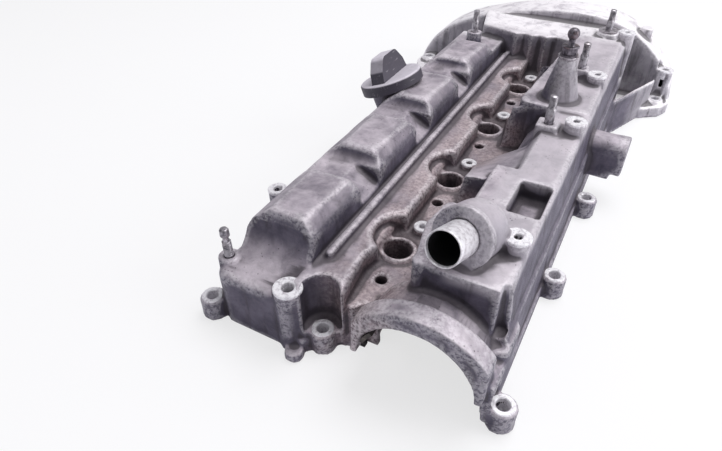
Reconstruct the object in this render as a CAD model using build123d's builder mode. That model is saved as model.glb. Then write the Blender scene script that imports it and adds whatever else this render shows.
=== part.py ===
from build123d import *
from math import cos, radians, sin
import os

# Valve cover of a four-cylinder diesel engine: one aluminium casting with its fittings.
# Origin: on the axis of the front injector well, in the plane of the rim that sits on the head.
# X runs across the engine, Y runs along it from the front arch to the flared end, Z is up.

# Driving dimensions, in millimetres
bore_pitch = 94.0
cylinders = 4
wall = 4.5

# Rim that is bolted down on the cylinder head
rim_height = 12.0
rim_width = 11.0
left_side = -95.0
right_side = 93.5
front_end = -81.5
flare_start = 322.0
back_end = 424.0
head_left = -150.0
head_right = 142.0
seat_height = 17.0
ear_radius = 9.0
ear_seat_radius = 7.2
bolt_hole_radius = 4.2

# Left half: deck, cam ridge and the bank beside the valley
deck_height = 45.0
ridge_left = -88.0
ridge_right = -33.0
ridge_height = 78.0
saddle_height = 67.0
ridge_front = -47.0
bump_length = 58.0
bank_height = 52.0
bank_edge = -4.0
bead_x = -29.0
bead_height = 5.0
bead_width = 5.5

# Valley with the injector wells
valley_height = 37.0
valley_left = -14.0
valley_right = 26.0
valley_back = 331.0
well_outer_radius = 15.0
well_rim_height = 3.0
injector_radius = 9.8
scoop_radius = 20.0
clamp_x = 6.0
clamp_y = 27.0
clamp_seat_radius = 6.2
clamp_seat_height = 42.0
clamp_hole_radius = 2.6
glow_x = 2.0
glow_y = -29.5
glow_radius = 3.8

# Right half: the higher block with the breather
block_front = -50.0
block_left = 31.0
roof_edge = 85.0
roof_height = 82.0
rear_roof_height = 84.0
rear_step = 165.0
rail_height = 48.0
rail_side = 89.0
post_radius = 7.8
post_height = 92.0
post_hole_radius = 2.6
post_hole_depth = 20.0
hole_bottom = 3.0
hole_wall = 2.5
front_boss = (-38, -75)
front_boss_radius = 9.2
front_boss_height = 51.0
front_boss_hole = 4.2
front_boss_depth = 26.0
side_boss = (-100, 2)
side_boss_radius = 7.2
side_boss_height = 55.0
bracket_hole = 3.4
side_boss_depth = 22.0
corner_boss = (-91, -66)
corner_boss_radius = 7.6
corner_boss_height = 48.0
far_boss = (128, 388)
far_boss_height = 45.0
far_boss_radius = 8.0
far_boss_depth = 20.0
crown_boss = (98, 401)
crown_boss_height = 81.0
crown_boss_radius = 6.5
back_thread_depth = 12.0
plate_height = 79.0
ledge_height = 44.0
stub_crown = 46.0
stub_radius = 14.0
stub_end = 118.0
tower_x = 55.0
tower_y = 184.5
tower_foot_radius = 17.0
tower_top_radius = 7.2
tower_height = 118.0

# Front arch, through which the head's end shows
arch_x = 48.0
arch_z = 25.0
arch_radius = 36.0
arch_flange_radius = 50.0
arch_flange_depth = 15.0
arch_left = 8.0
arch_foot = 29.0
rim_front = -61.0
leg_front = -53.0

# Breather outlet
breather_tilt = 18.0
breather_yaw = 8.0
collar_radius = 18.5
collar_length = 35.0
collar_groove = 1.4
collar_ring = 6.5
drum_step = 0.7
collar_x = 52.5
collar_y = -37.0
collar_z = 97.5
pipe_radius = 10.6
pipe_insert_radius = 10.2
pipe_wall = 1.1
pipe_stand = 21.0
pipe_seat = 16.0

# Oil filler
filler_x = -90.0
filler_y = 169.0
filler_z = 74.0
filler_tilt = 22.0
neck_radius = 21.0
neck_bore = 17.0
neck_depth = 42.0
cap_radius = 28.5
cap_rim = 9.5
cap_top = 2.5
spigot_radius = 16.6
spigot_length = 12.0
spigot_wall = 2.5
seal_thickness = 2.4
seal_outer_radius = 19.5
cap_gap = 0.3
handle_length = 46.0
handle_width = 13.0
handle_height = 20.0

# Fasteners
stud_radius = 3.0
stud_shank_radius = 3.5
stud_shank = 11.5
stud_length = 21.5
stud_hole_depth = 12.0
ball_radius = 4.6
ball_rise = 16.5
ball_neck_radius = 2.6
hex_across = 11.0
washer_thickness = 1.6
tower_washer_radius = 8.0
roof_washer_radius = 9.5

# Seals and the sheet-metal baffle below the breather
gasket_width = 4.0
gasket_height = 4.0
gasket_clearance = 0.1
seal_inset = 5.6
seal_bit_thickness = 2.4
well_seal_low = 2.5
injector_seal_height = 6.0
injector_seal_wall = 3.2
baffle_thickness = 1.2
baffle_height = 46.0
baffle_front = -34.0
baffle_back = 12.0
baffle_left = 48.5
baffle_right = 79.0
baffle_lip = 6.0
baffle_inset = 7.0
baffle_screw_radius = 1.9
baffle_head_radius = 4.0

well_seal_radius = injector_radius + injector_seal_wall
well_places = [(0, bore_pitch * i) for i in range(cylinders)]
clamp_places = [(clamp_x, clamp_y + bore_pitch * i) for i in range(cylinders)]
glow_places = [(glow_x, glow_y + bore_pitch * i) for i in range(cylinders)]
post_places = [(78, -14), (78, 134), (76, 226), (83, 343)]
left_ears = [(-101, -79), (-101, 46), (-101, 130), (-101, 236), (-137, 374)]
right_ears = [(98, -67), (98, 50), (99, 155), (99, 258), (127, 376)]
front_ear = (-19.5, -68)
back_threads = [(-90, 415), (0, 415), (92, 415)]
ears = left_ears + right_ears
lobe_fronts = [52.0, 164.0, 256.0]
web_places = [bore_pitch * (i + 0.5) for i in range(cylinders - 1)]
baffle_pads = [
    (x, y)
    for x in (baffle_left + baffle_inset, baffle_right - baffle_inset)
    for y in (baffle_front + baffle_inset - 1, baffle_back - baffle_inset + 1)
]
stud_seats = {
    "stud_front_left": (corner_boss, corner_boss_height),
    "stud_far_left": ((-61, 307), 81.0),
    "stud_mid_block": ((59, 133), 87.0),
    "stud_tower_side": ((61.5, 232), 93.0),
    "stud_far_right": ((64, 361), 84.0),
}
breather_direction = Vector(
    -sin(radians(breather_yaw)) * cos(radians(breather_tilt)),
    -cos(radians(breather_yaw)) * cos(radians(breather_tilt)),
    sin(radians(breather_tilt)),
)
collar_plane = Plane(origin=(collar_x, collar_y, collar_z), x_dir=(1, 0, 0), z_dir=breather_direction)
cap_axis = Vector(-sin(radians(filler_tilt)), 0, cos(radians(filler_tilt)))
neck_plane = Plane(origin=(filler_x, filler_y, filler_z), x_dir=(0, 1, 0), z_dir=cap_axis)


def prism(plane, points, depth, radii=0.0, mode=Mode.ADD):
    """Block with a straight or rounded outline on a plane, pushed along the plane's normal."""
    with BuildSketch(plane) as outline:
        with BuildLine():
            FilletPolyline(*points, radius=radii, close=True)
        make_face()
    extrude(outline.sketch, amount=depth, mode=mode)


def slab(points, low, high, radii=0.0, mode=Mode.ADD):
    """Block drawn in plan."""
    prism(Plane.XY.offset(low), points, high - low, radii, mode)


def bar(points, start, end, radii=0.0, mode=Mode.ADD):
    """Block whose section is drawn across the engine, running along Y."""
    prism(Plane.XZ.offset(-end), points, end - start, radii, mode)


def fin(points, left, right, radii=0.0, mode=Mode.ADD):
    """Block whose outline is drawn along the engine, running along X."""
    prism(Plane.YZ.offset(left), points, right - left, radii, mode)


def columns(places, radius, low, high, mode=Mode.ADD):
    """Upright round bosses or holes of one size."""
    with BuildSketch(Plane.XY.offset(low)) as discs:
        with Locations(*places):
            Circle(radius)
    extrude(discs.sketch, amount=high - low, mode=mode)


def disc_on(plane, radius, low, high, mode=Mode.ADD):
    """Round bar or hole along a plane's normal, between two heights above the plane."""
    with BuildSketch(plane.offset(low)) as disc:
        Circle(radius)
    extrude(disc.sketch, amount=high - low, mode=mode)


def export(name, builder, label):
    """Write one piece under its own name."""
    builder.part.label = label
    export_step(builder.part, "parts/" + name + ".step")


def rim_outline():
    """Plan of the whole rim, from the front left corner round to the left side."""
    points = [
        (left_side, front_end),
        (-28, front_end),
        (-22, front_end + 8),
        (-10, rim_front - 3),
        (-2, rim_front),
        (arch_left - 5, leg_front),
        (right_side - 10, leg_front),
        (right_side - 6, rim_front),
        (right_side, rim_front + 6),
        (right_side, flare_start + 12),
        (122, flare_start + 36),
        (head_right - 6, flare_start + 46),
        (head_right, flare_start + 60),
        (head_right, back_end),
        (head_left, back_end),
        (head_left, flare_start + 42),
        (-128, flare_start + 8),
        (left_side, flare_start - 8),
    ]
    radii = [12, 3, 4, 3, 3, 0, 0, 3, 3, 16, 12, 8, 8, 14, 14, 16, 16, 16]
    return points, radii


def head_profile(inset=0.0):
    """Arched section of the flared end: steep sides and a long crown."""
    foot_left = head_left + inset
    foot_right = head_right - inset
    with BuildLine() as line:
        Polyline((foot_right, 0), (foot_left, 0), (foot_left, 12))
        Spline(
            (foot_left, 12),
            (head_left + 22 + inset * 0.7, 46 - inset * 0.7),
            (-70, 76 - inset),
            (5, 90 - inset),
            (72, 85 - inset),
            (112, 62 - inset * 0.8),
            (foot_right - 4, 26 - inset * 0.3),
        )
        Line((foot_right - 4, 26 - inset * 0.3), (foot_right, 0))
    return line


def ridge_side():
    """Side view of the cam ridge: a bump over each cylinder, with a cove at its front."""
    with BuildLine() as line:
        foot = 25.0
        start = ridge_front - foot
        y, z = start, deck_height + 1.0
        for i in range(cylinders):
            face = ridge_front + bore_pitch * i
            cove = foot if i == 0 else 11.0
            base = deck_height + 1.0 if i == 0 else saddle_height
            if i > 0:
                Line((y, z), (face - cove, base))
            rise = min(cove, ridge_height - base - 2.0)
            ThreePointArc(
                (face - cove, base),
                (face - cove * 0.3, base + rise * 0.3),
                (face, base + rise),
            )
            top = face + 3.0
            Line((face, base + rise), (top, ridge_height))
            tail = face + bump_length
            Line((top, ridge_height), (tail, ridge_height - 2.0))
            y, z = tail + 5.0, saddle_height
            Line((tail, ridge_height - 2.0), (y, z))
        Line((y, z), (valley_back + 12.0, saddle_height))
        Polyline((valley_back + 12.0, saddle_height), (valley_back + 12.0, 10), (start, 10), (start, deck_height + 1.0))
    return line


def build_ridge():
    """Cam ridge: the section across it, cut by its side view."""
    section = [
        (ridge_left, 10),
        (ridge_left, 60),
        (ridge_left + 4, 68),
        (ridge_left + 18, ridge_height),
        (ridge_right - 12, ridge_height),
        (ridge_right - 3, 68),
        (ridge_right, 10),
    ]
    end = valley_back + 12.0
    with BuildPart() as ridge:
        bar(section, ridge_front - 25.0, end, [0, 6, 8, 6, 9, 12, 0])
        with BuildSketch(Plane.YZ.offset(ridge_left - 1)) as side:
            with BuildLine():
                add(ridge_side())
            make_face()
        extrude(side.sketch, amount=ridge_right - ridge_left + 2, mode=Mode.INTERSECT)
        for i in range(cylinders - 1):
            saddle_start = ridge_front + bump_length + bore_pitch * i + 3.0
            cut = [(-58, ridge_height), (-58, saddle_height + 1), (ridge_right - 1, 54), (ridge_right + 4, 54)]
            cut.append((ridge_right + 4, ridge_height))
            bar(cut, saddle_start, saddle_start + bore_pitch - bump_length - 9.0, 0.0, Mode.SUBTRACT)
    return ridge.part


def build_left_block():
    """Front left chamber and the deck that runs along the outside of the ridge."""
    outline = [
        (left_side, front_end),
        (-31, front_end),
        (-26, front_end + 12),
        (-10, rim_front - 2),
        (-10, valley_back + 8),
        (left_side, valley_back + 8),
    ]
    with BuildPart() as block:
        slab(outline, 0, deck_height, [12, 5, 4, 2, 0, 0])
        upper = block.faces().sort_by(Axis.Z)[-1].edges()
        outer = upper.filter_by_position(Axis.X, left_side - 1, -31.5).filter_by(
            lambda edge: edge.center().X < left_side + 6 or edge.center().Y < front_end + 2
        )
        fillet(outer, 6.0)
    return block.part


def build_bank():
    """Flat bank between the ridge and the valley, scooped out beside each well."""
    outline = [
        (ridge_right - 6, front_end + 8),
        (-27, front_end + 2),
        (-23, front_end + 15),
        (bank_edge - 2, front_end + 16),
        (bank_edge - 6, -30),
        (bank_edge, 0),
        (bank_edge, valley_back + 4),
        (ridge_right - 6, valley_back + 4),
    ]
    with BuildPart() as bank:
        slab(outline, 5, bank_height, [3, 3, 4, 3, 14, 14, 0, 0])
        scoops = [(x + 2, y + 3) for x, y in well_places]
        columns(scoops, scoop_radius, valley_height, bank_height + 1, Mode.SUBTRACT)
        upper = bank.faces().sort_by(Axis.Z)[-1].edges()
        valley_side = upper.filter_by(lambda edge: edge.center().X > ridge_right + 4)
        fillet(valley_side, 4.0)
    return bank.part


def build_lobe(i):
    """Buttress behind a well: an upright front face and a top that falls to the clamp seat."""
    front = lobe_fronts[i]
    back = clamp_y + bore_pitch * (i + 1) - 3.0
    high = (roof_height if i == 0 else rear_roof_height) - 2.0
    front_shape = [(18, 20), (21, 60), (24, high - 4), (52, high), (52, 20)]
    back_shape = [(9, 20), (10, clamp_seat_height - 1), (14, clamp_seat_height + 4), (52, high - 6), (52, 20)]
    with BuildPart() as lobe:
        for y, shape in ((front, front_shape), (back, back_shape)):
            with BuildSketch(Plane.XZ.offset(-y)):
                with BuildLine():
                    Polyline(*shape, close=True)
                make_face()
        loft(ruled=True)
    return lobe.part


def build_right_block():
    """Right half of the cover: a drafted side wall, the front bay and the raised rear roof."""
    side = [
        (40, 0),
        (40, roof_height),
        (roof_edge, roof_height),
        (rail_side - 1, rail_height + 2),
        (rail_side + 1.5, rail_height - 2),
        (rail_side + 2.5, 0),
    ]
    with BuildPart() as block:
        bar(side, block_front, valley_back + 8, [0, 2, 4, 2, 2, 0])
        front_bay = [
            (block_left, block_front),
            (60, block_front),
            (60, 14),
            (block_left - 4, 14),
            (block_left - 8, -12),
        ]
        slab(front_bay, 5, roof_height - 0.5, [5, 0, 0, 6, 8])
        rear = [(27, rear_step), (roof_edge - 2, rear_step), (roof_edge - 4, valley_back + 8), (38, valley_back + 8)]
        slab(rear, 5, rear_roof_height, [7, 5, 0, 0])
        step = [(62, roof_height - 14), (62, roof_height + 1), (roof_edge - 3, roof_height + 1)]
        step.append((roof_edge - 3, roof_height - 14))
        bar(step, 20, 56, [3, 0, 0, 3], Mode.SUBTRACT)
        slope = [(39, 56), (39, roof_height + 2), (58, roof_height + 2), (55, roof_height - 2)]
        bar(slope, lobe_fronts[0] + 16, lobe_fronts[1], 0.0, Mode.SUBTRACT)
        corner = [(81.5, 47), (81.5, roof_height + 2), (roof_edge + 3, roof_height + 2), (roof_edge + 3, 47)]
        bar(corner, block_front - 1, block_front + 9, 0.0, Mode.SUBTRACT)
    return block.part


def build_arch():
    """Half-round tunnel over the head's front end, with a flange at its mouth that ends above the rim."""
    with BuildPart() as arch:
        with BuildSketch(Plane.XZ.offset(-front_end - arch_flange_depth)) as mouth:
            with Locations((arch_x + 2, arch_z - 2)):
                Circle(arch_flange_radius)
            with Locations((arch_x, arch_foot - 100)):
                Rectangle(300, 200, mode=Mode.SUBTRACT)
            with Locations((arch_left - 50, 40), (right_side - 4 + 50, 40)):
                Rectangle(100, 200, mode=Mode.SUBTRACT)
        extrude(mouth.sketch, amount=arch_flange_depth)
        with BuildSketch(Plane.XZ.offset(-block_front - 8)) as tunnel:
            with Locations((arch_x, arch_z)):
                Circle(arch_radius + wall)
            with Locations((arch_x, arch_z - 100)):
                Rectangle(300, 200, mode=Mode.SUBTRACT)
        extrude(tunnel.sketch, amount=block_front + 8 - front_end)
        reach = arch_radius + wall
        legs = [(arch_x - reach, 0), (arch_x - reach, arch_z + 4), (arch_x + reach, arch_z + 4), (arch_x + reach, 0)]
        bar(legs, leg_front, block_front + 8)
    return arch.part


def build_head():
    """Flared end with its arched crown, a pocket in its front face on each side and ribs."""
    front = flare_start + 62.0
    with BuildPart() as head:
        with BuildSketch(Plane.XZ.offset(-back_end)) as wide:
            add(head_profile())
            make_face()
        extrude(wide.sketch, amount=back_end - front)
        top = [(-44, valley_back + 3), (-22, valley_back - 4), (-14, valley_back + 1), (-6, valley_back - 3)]
        top += [(2, valley_back + 2), (9, valley_back - 1), (16, valley_back + 5), (30, valley_back + 2)]
        top += [(60, valley_back + 6), (78, front + 4), (-74, front + 4), (-62, valley_back + 8)]
        slab(top, 5, plate_height)
    return head.part


def build_neck():
    """Oil filler neck, leaning outwards."""
    with BuildPart() as neck:
        with BuildSketch(neck_plane.offset(-neck_depth)) as ring:
            Circle(neck_radius)
        extrude(ring.sketch, amount=neck_depth)
    return neck.part


def build_collar():
    """Breather body: a flange ring, a groove and a drum with a rounded back."""
    with BuildPart() as collar:
        disc_on(collar_plane, collar_radius - drum_step, -collar_length, -collar_ring)
        far = collar.faces().sort_by(Axis((0, 0, 0), tuple(breather_direction)))[0].edges()
        fillet(far, 13.0)
        disc_on(collar_plane, collar_radius - collar_groove, -collar_ring - 2, -collar_ring + 2)
        disc_on(collar_plane, collar_radius, -collar_ring + 1.5, 0)
    return collar.part


def build_tower():
    """Conical tower that carries the ball stud."""
    with BuildPart() as tower:
        with BuildSketch(Plane.XY.offset(rear_roof_height - 8)):
            with Locations((tower_x, tower_y)):
                Circle(tower_foot_radius)
        with BuildSketch(Plane.XY.offset(tower_height)):
            with Locations((tower_x, tower_y)):
                Circle(tower_top_radius)
        loft()
    return tower.part


def build_fittings():
    """Bolt ears, tapped bosses, roof posts and the raised seats for the studs."""
    with BuildPart() as fittings:
        columns(ears + [front_ear], ear_radius, 0, seat_height - 1)
        columns(ears + [front_ear], ear_seat_radius, seat_height - 2, seat_height)
        columns([(front_ear[0] - 12, front_end - 3)], 6.5, 0, 7)
        columns([front_boss], front_boss_radius, 0, front_boss_height)
        columns([side_boss], side_boss_radius, 0, side_boss_height)
        columns([corner_boss], corner_boss_radius, 0, corner_boss_height)
        columns([far_boss], far_boss_radius, 0, far_boss_height)
        columns([(block_left + 4, block_front + 4)], 5.5, 40, roof_height + 1)
        columns(post_places, post_radius, 30, post_height)
        columns([crown_boss], crown_boss_radius, 50, crown_boss_height)
        for name, radius, drop in (("stud_far_left", 8.0, 25), ("stud_far_right", roof_washer_radius + 1, 20)):
            place, base = stud_seats[name]
            columns([place], radius, base - drop, base)
        mid_x, mid_y = stud_seats["stud_mid_block"][0]
        high = stud_seats["stud_mid_block"][1]
        mid = [(mid_y - 8, 60), (mid_y - 8, high), (mid_y + 8, high), (mid_y + 10, 60), (mid_y - 18, 52)]
        fin(mid, mid_x - 8.5, mid_x + 8.5, [0, 1, 3, 0, 2])
        rear_x, rear_y = stud_seats["stud_tower_side"][0]
        high = stud_seats["stud_tower_side"][1]
        rear = [(rear_y - 6, 60), (rear_y - 6, high), (rear_y + 7, high), (rear_y + 9, 60)]
        fin(rear, rear_x - 6, rear_x + 6, [0, 1, 2, 0])
        slab([(78, -58), (right_side, -58), (right_side, -30), (78, -30)], 0, ledge_height, [6, 8, 0, 0])
        foot = [(arch_x + 37, arch_foot - 4), (arch_x + 37, 42), (right_side, 36), (right_side, 5), (right_side - 5, 5)]
        bar(foot, front_end + 6, block_front, [0, 2, 3, 0, 0])
        rib = [(rail_side - 2, flare_start - 40), (far_boss[0], far_boss[1] - 4), (far_boss[0], far_boss[1] + 4)]
        rib.append((rail_side - 2, flare_start - 32))
        slab(rib, 0, far_boss_height - 6)
    return fittings.part


def build_stub():
    """Half-round hood that reaches out of the right side, open below."""
    centre = 2.0 * bore_pitch
    with BuildPart() as stub:
        with BuildSketch(Plane.YZ.offset(roof_edge - 3)) as hood:
            with Locations((centre, stub_crown)):
                Circle(stub_radius)
            with Locations((centre, stub_crown - 10)):
                Rectangle(2 * stub_radius, 20)
        extrude(hood.sketch, amount=stub_end - roof_edge + 3)
        inside = [(rail_side + 6, 10), (rail_side + 6, 50), (stub_end - wall, 50), (stub_end - wall, 10)]
        bar(inside, centre - stub_radius + wall, centre + stub_radius - wall, [0, 4, 4, 0], Mode.SUBTRACT)
        notch = [(stub_end - 8, 20), (stub_end - 8, 31), (stub_end + 1, 31), (stub_end + 1, 20)]
        bar(notch, centre - stub_radius - 1, centre + stub_radius + 1, 0.0, Mode.SUBTRACT)
    return stub.part


def build_outside():
    """The casting's outer form, still solid."""
    with BuildPart() as outside:
        outline, radii = rim_outline()
        slab(outline, 0, rim_height, radii)
        floor = [(valley_left - 4, rim_front), (-2, rim_front), (arch_left - 4, leg_front), (40, leg_front)]
        floor.append((44, valley_back + 4))
        floor.append((valley_left - 4, valley_back + 4))
        slab(floor, 0, valley_height)
        bead = [(bead_x - bead_width / 2, ridge_front + 4), (bead_x + bead_width / 2, ridge_front + 4)]
        bead += [(bead_x + bead_width / 2, valley_back - 3), (bead_x - bead_width / 2, valley_back - 3)]
        slab(bead, bank_height - 4, bank_height + bead_height, 2.5)
        pieces = [build_left_block(), build_ridge(), build_bank(), build_arch(), build_right_block()]
        pieces += [build_lobe(i) for i in range(cylinders - 1)]
        pieces += [build_head(), build_neck(), build_collar(), build_tower(), build_fittings(), build_stub()]
        add(pieces)
    return outside.part


def build_hollow():
    """The space below the roof, following the outside at wall thickness."""
    low = rim_height - 4
    back = back_end - wall
    deck = deck_height - wall
    roof = roof_height - wall
    with BuildPart() as hollow:
        left_shape = [
            (left_side + wall, low),
            (left_side + wall, deck),
            (ridge_left + wall, deck + 1),
            (ridge_left + wall, 57),
            (ridge_left + 12, saddle_height - wall),
            (-60, saddle_height - wall),
            (ridge_right - 5, bank_height - wall + 1),
            (-24, bank_height - wall),
            (-24, low),
        ]
        bar(left_shape, ridge_front + wall, valley_back + 4)
        front_shape = [(left_side + wall, low), (left_side + wall, deck), (ridge_right, deck), (ridge_right, low)]
        bar(front_shape, front_end + wall, ridge_front + wall + 1)
        valley = valley_height - wall
        bar([(-25, low), (-25, valley), (47, valley), (47, low)], -44, valley_back + 4)
        for y in web_places:
            bar([(-25, 30), (-25, bank_height - wall), (-9, bank_height - wall), (-9, 30)], y - 19, y + 22)
        for i in range(cylinders - 1):
            start = lobe_fronts[i] + wall
            end = start + 22
            bar([(28, 30), (28, 58), (47, 70), (47, 30)], start, end)
        right_shape = [
            (46, low),
            (46, roof_height - 20),
            (roof_edge - wall, roof_height - 20),
            (rail_side - wall, rail_height - 2),
            (rail_side - wall + 1, low),
        ]
        bar(right_shape, block_front + 15, valley_back + 4)
        bar([(46, low), (46, 62), (76, 62), (76, low)], block_front + wall, block_front + 16)
        upper = [(48, roof_height - 21), (48, roof), (76, roof), (76, roof_height - 21)]
        bar(upper, block_front + wall, 15)
        narrow = [(58, roof_height - 21), (58, roof), (78, roof), (80, roof - 4), (80, roof_height - 21)]
        bar(narrow, 61, valley_back + 4)
        plate = plate_height - wall
        bar([(-60, low), (-60, plate), (74, plate), (74, low)], valley_back + 9, back - 28, [0, 6, 6, 0])
        with BuildSketch(Plane.XZ.offset(-back)) as inner:
            add(head_profile(8.0))
            make_face()
            with Locations((0, -40)):
                Rectangle(400, 80 + 2 * low, mode=Mode.SUBTRACT)
        extrude(inner.sketch, amount=30)
        mouth = [
            (left_side + rim_width, front_end + rim_width),
            (-36, front_end + rim_width),
            (-30, rim_front + rim_width + 2),
            (arch_left + 4, rim_front + rim_width + 2),
            (right_side - rim_width, rim_front + 16),
            (right_side - rim_width, flare_start + 16),
            (106, flare_start + 54),
            (112, back_end - 26),
            (-128, back_end - 26),
            (-128, flare_start + 58),
            (-118, flare_start + 30),
            (left_side + rim_width, flare_start - 4),
        ]
        slab(mouth, -1, rim_height - 3, [8, 6, 6, 2, 6, 10, 8, 8, 6, 8, 8, 8])
        with BuildSketch(Plane.XZ.offset(-front_end + 1)) as tunnel:
            with Locations((arch_x, arch_z)):
                Circle(arch_radius)
            with Locations((arch_x, arch_z / 2 - 5)):
                Rectangle(2 * arch_radius, arch_z + 10)
        extrude(tunnel.sketch, amount=-(block_front + 10 - front_end))
    return hollow.part


def build_inside():
    """Injector wells, clamp columns, stiffening webs, and the metal round the blind holes."""
    with BuildPart() as inside:
        columns(well_places, well_outer_radius, 0, valley_height)
        columns(well_places, injector_radius + 3, valley_height - 1, valley_height + well_rim_height)
        columns(clamp_places, clamp_seat_radius, 10, clamp_seat_height)
        columns(glow_places, glow_radius + 3.5, 8, valley_height)
        columns(baffle_pads, baffle_head_radius + 1, baffle_height + baffle_thickness, roof_height - 3)
        post_foot = post_height - post_hole_depth - hole_bottom
        columns(post_places, post_hole_radius + hole_wall, post_foot, roof_height)
        boss_foot = front_boss_height - front_boss_depth - hole_bottom
        columns([front_boss], front_boss_hole + hole_wall, boss_foot, deck_height)
        columns([corner_boss], stud_radius + hole_wall, corner_boss_height - stud_hole_depth - hole_bottom, deck_height)
        columns(back_threads, bracket_hole + hole_wall, 0, back_thread_depth + hole_bottom)
        for y in web_places:
            left_web = [(-92, 26), (-92, 42), (-86, 43), (-84, 60), (-58, 64), (-38, 48), (-26, 46), (-26, 26)]
            bar(left_web, y - 2, y + 2)
            right_web = [(30, 24), (30, 34), (49, 34), (49, 64), (82, 64), (86, 46), (89, 24)]
            bar(right_web, y - 2, y + 2)
    return inside.part


def seal_path(grow):
    """Closed line of the perimeter seal, grown or shrunk from its middle line."""
    inset = seal_inset
    points = [
        (left_side + inset, front_end + inset),
        (-38, front_end + inset),
        (-31, rim_front + inset),
        (arch_x, rim_front + inset),
        (right_side - inset, rim_front + inset),
        (right_side - inset, flare_start + 15),
        (112, flare_start + 50),
        (118, flare_start + 66),
        (head_right - inset, flare_start + 70),
        (head_right - inset, back_end - 19),
        (head_left + inset, back_end - 19),
        (head_left + inset, flare_start + 46),
        (-128 + inset, flare_start + 12),
        (left_side + inset, flare_start - 6),
    ]
    radii = [10, 7, 7, 0, 7, 12, 8, 7, 4, 5, 10, 14, 14, 14]
    with BuildSketch() as path:
        with BuildLine():
            FilletPolyline(*points, radius=radii, close=True)
        make_face()
        offset(amount=grow)
    return path.sketch


def seal_band(spread, stop):
    """Band of the seal in plan, cut away across the arch."""
    with BuildSketch() as band:
        add(seal_path(gasket_width / 2 + spread))
        add(seal_path(-gasket_width / 2 - spread), mode=Mode.SUBTRACT)
        with Locations((arch_left - 3 - stop + 60, block_front + 2 + stop - 30)):
            Rectangle(120, 60, mode=Mode.SUBTRACT)
    return band.sketch


def build_cuts():
    """Bolt holes, wells, tapped holes, the breather's and the filler's bores and the seal's groove."""
    with BuildPart() as cuts:
        columns(ears + [front_ear], bolt_hole_radius, -1, seat_height + 1)
        columns(ears, ear_seat_radius + 1, seat_height, seat_height + 14)
        columns(right_ears[-1:], ear_seat_radius + 1, seat_height, far_boss_height)
        columns([far_boss], far_boss_radius + 0.5, far_boss_height, far_boss_height + 20)
        columns(back_threads, bracket_hole, -1, back_thread_depth)
        columns([front_ear], bolt_hole_radius + 8, seat_height, bank_height + 4)
        columns(well_places, injector_radius, -1, valley_height + 12)
        columns(well_places, well_seal_radius, well_seal_low, well_seal_low + injector_seal_height)
        columns(clamp_places, clamp_hole_radius, 20, clamp_seat_height + 1)
        columns(clamp_places, clamp_seat_radius + 1, clamp_seat_height, clamp_seat_height + 8)
        columns(glow_places, glow_radius, -1, valley_height + 3)
        columns(post_places, post_hole_radius, post_height - post_hole_depth, post_height + 1)
        columns([front_boss], front_boss_hole, front_boss_height - front_boss_depth, front_boss_height + 1)
        columns([side_boss], bracket_hole, side_boss_height - side_boss_depth, side_boss_height + 1)
        columns([far_boss], bracket_hole, far_boss_height - far_boss_depth, far_boss_height + 1)
        columns(baffle_pads, baffle_screw_radius, baffle_height - 1, baffle_height + 11)
        for place, base in stud_seats.values():
            columns([place], stud_radius, base - stud_hole_depth, base + 1)
        columns([(tower_x, tower_y)], stud_radius, tower_height - stud_hole_depth, tower_height + 1)
        disc_on(collar_plane, pipe_insert_radius, -pipe_seat, 1)
        disc_on(collar_plane, pipe_radius - pipe_wall, -collar_length + 9, 1)
        columns([(collar_x + 2.5, collar_y + 18)], pipe_radius - pipe_wall, roof_height - 6, collar_z - 7)
        disc_on(neck_plane, neck_bore, -neck_depth + wall, 1)
        with BuildSketch(Plane.XY.offset(-1)) as groove:
            add(seal_band(gasket_clearance, 0.0))
        extrude(groove.sketch, amount=gasket_height + 1)
    return cuts.part


os.makedirs("parts", exist_ok=True)

with BuildPart() as cover:
    add(build_outside())
    add(build_hollow(), mode=Mode.SUBTRACT)
    add(build_inside())
    add(build_cuts(), mode=Mode.SUBTRACT)
export("cover_casting", cover, "cover_casting")

with BuildPart() as gasket:
    extrude(seal_band(0.0, gasket_clearance), amount=gasket_height)
export("perimeter_gasket", gasket, "perimeter_gasket")

for number, (x, y) in enumerate(well_places, start=1):
    with BuildPart() as well_seal:
        with BuildSketch(Plane.XY.offset(well_seal_low)):
            with Locations((x, y)):
                Circle(well_seal_radius)
                Circle(injector_radius, mode=Mode.SUBTRACT)
        extrude(amount=injector_seal_height)
    name = "injector_seal_" + str(number)
    export(name, well_seal, name)

with BuildPart() as filler_seal:
    with BuildSketch(neck_plane.offset(cap_gap)):
        Circle(seal_outer_radius)
        Circle(spigot_radius, mode=Mode.SUBTRACT)
    extrude(amount=seal_thickness)
export("oil_cap_seal", filler_seal, "oil_cap_seal")

cap_under = 2 * cap_gap + seal_thickness
with BuildPart() as filler_cap:
    disc_on(neck_plane, cap_radius, cap_under + cap_top - cap_rim, cap_under + cap_top)
    fillet(filler_cap.faces().sort_by(Axis((0, 0, 0), tuple(cap_axis)))[-1].edges(), 2.0)
    disc_on(neck_plane, cap_radius - 3, cap_under + cap_top - cap_rim - 1, cap_under, Mode.SUBTRACT)
    disc_on(neck_plane, spigot_radius - 0.1, cap_under - spigot_length, cap_under)
    disc_on(neck_plane, spigot_radius - spigot_wall, cap_under - spigot_length - 1, cap_under, Mode.SUBTRACT)
    side = [
        (-handle_length / 2, -1),
        (-handle_length / 2 + 3, handle_height * 0.45),
        (-handle_length / 4, handle_height),
        (handle_length / 4, handle_height),
        (handle_length / 2 - 3, handle_height * 0.45),
        (handle_length / 2, -1),
    ]
    grip_origin = neck_plane.offset(cap_under + cap_top).origin
    grip_plane = Plane(origin=grip_origin, x_dir=(0, 1, 0), z_dir=Vector(0, 1, 0).cross(cap_axis))
    prism(grip_plane.offset(-handle_width / 2), side, handle_width, [0, 5, 7, 7, 5, 0])
export("oil_filler_cap", filler_cap, "oil_filler_cap")

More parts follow.
